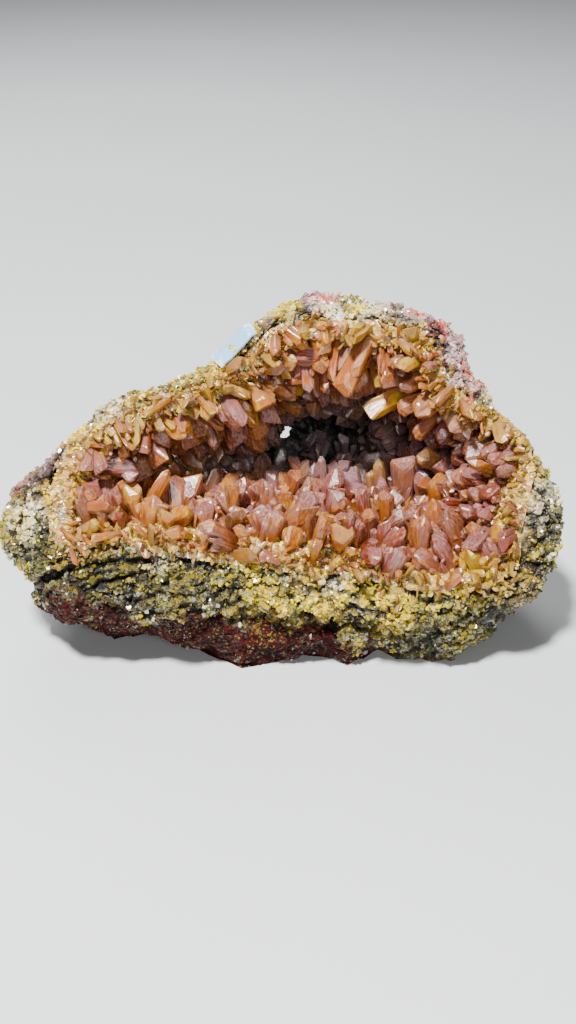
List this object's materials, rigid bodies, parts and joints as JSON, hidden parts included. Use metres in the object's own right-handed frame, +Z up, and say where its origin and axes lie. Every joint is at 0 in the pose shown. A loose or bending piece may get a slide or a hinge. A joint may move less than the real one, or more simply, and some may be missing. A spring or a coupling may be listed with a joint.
{
  "type": "orpiment mineral specimen",
  "caption": "Hand-sized orpiment: granular yellow and olive rock with a broken hollow lined with stout orange and salmon crystals, and a torn scrap of blue paper on its shoulder.",
  "frame": {"origin": "in the flat resting face, near its middle", "axes": "+Z up from the resting face, +X along the longest extent to the viewer's right, -Y out of the broken face, which leans back 30 degrees"},
  "size_m": [0.1566, 0.0846, 0.0945],
  "materials": {
    "rock": "rough granular sulphide rock with glinting flakes",
    "crystals": "resinous, slightly translucent crystal faces",
    "paper_scrap": "matt torn paper"
  },
  "bodies": {
    "root": {"matrix": "rock", "crystal_crust": "crystals", "label_scrap": "paper_scrap"}
  },
  "joints": []
}
